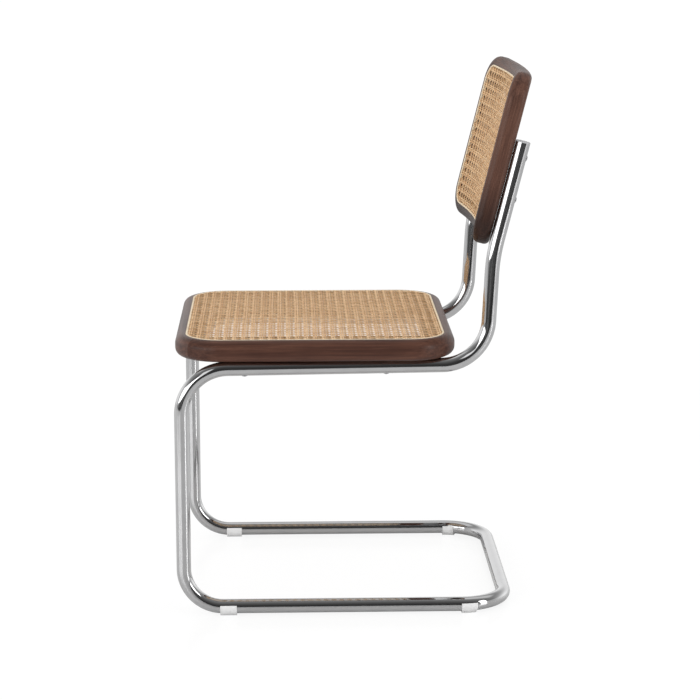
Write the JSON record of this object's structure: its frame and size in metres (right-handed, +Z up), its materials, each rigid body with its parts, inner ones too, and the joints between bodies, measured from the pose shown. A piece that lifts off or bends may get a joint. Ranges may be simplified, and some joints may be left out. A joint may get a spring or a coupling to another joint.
{
  "type": "cantilever dining chair",
  "caption": "Cantilever dining chair: bent chromed tube frame on plastic glides, dark wooden seat and hollow back frames, each with a woven cane panel held by a spline.",
  "frame": {"origin": "on the floor, at the middle of the chair's overall width and depth", "axes": "+Z up, +X to the sitter's left, the sitter faces -Y"},
  "size_m": [0.4674, 0.5812, 0.8765],
  "materials": {
    "chrome_tube": "polished chrome plate",
    "sleeve_steel": "plain steel",
    "end_cap_plastic": "satin grey plastic",
    "glide_plastic": "pale plastic",
    "stained_wood": "dark walnut stain, satin lacquer",
    "cane": "woven cane webbing",
    "spline_reed": "cream reed",
    "dowel_wood": "plain beech",
    "screw_steel": "plated steel"
  },
  "bodies": {
    "root": {"left_frame_tube": "chrome_tube", "right_frame_tube": "chrome_tube", "bar_sleeve": "sleeve_steel", "left_end_cap": "end_cap_plastic", "right_end_cap": "end_cap_plastic", "front_left_glide": "glide_plastic", "front_right_glide": "glide_plastic", "rear_left_glide": "glide_plastic", "rear_right_glide": "glide_plastic", "seat_front_rail": "stained_wood", "seat_rear_rail": "stained_wood", "seat_left_rail": "stained_wood", "seat_right_rail": "stained_wood", "back_top_rail": "stained_wood", "back_bottom_rail": "stained_wood", "back_left_stile": "stained_wood", "back_right_stile": "stained_wood", "seat_cane": "cane", "back_cane": "cane", "seat_spline": "spline_reed", "back_spline": "spline_reed", "seat_dowels": "dowel_wood", "back_dowels": "dowel_wood", "seat_screws": "screw_steel", "back_screws": "screw_steel"}
  },
  "joints": []
}
